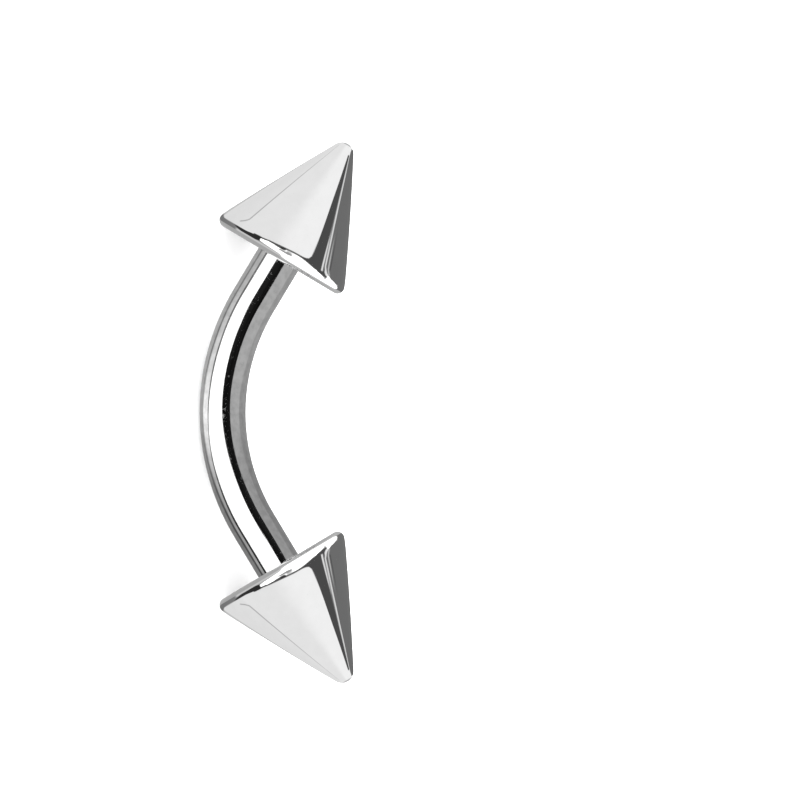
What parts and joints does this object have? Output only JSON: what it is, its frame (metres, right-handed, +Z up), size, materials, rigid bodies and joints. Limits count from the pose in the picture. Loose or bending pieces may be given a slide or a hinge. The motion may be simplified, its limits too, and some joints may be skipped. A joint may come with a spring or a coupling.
{
  "type": "curved eyebrow barbell",
  "caption": "Curved eyebrow barbell in polished steel: a bent bar with a threaded post at each end, and cone spikes that screw on.",
  "frame": {"origin": "centre of the footprint, on the surface that the barbell lies on", "axes": "+X along the chord from the upper spike to the lower spike, +Z up, -Y towards the viewer"},
  "size_m": [0.014, 0.0036, 0.0035],
  "materials": {
    "bar_steel": "mirror-polished surgical steel, with faint polishing lines",
    "spike_steel": "turned and mirror-polished surgical steel"
  },
  "bodies": {
    "bar": {"curved_bar": "bar_steel"},
    "upper": {"upper_spike": "spike_steel"},
    "lower": {"lower_spike": "spike_steel"}
  },
  "joints": [
    {"name": "upper_unscrew", "type": "slide", "parent": "bar", "child": "upper", "axis": [-0.8572, 0.3467, 0.3809], "range_m": [0, 0.002]},
    {"name": "lower_unscrew", "type": "slide", "parent": "bar", "child": "lower", "axis": [0.8572, 0.3467, 0.3809], "range_m": [0, 0.002]}
  ]
}
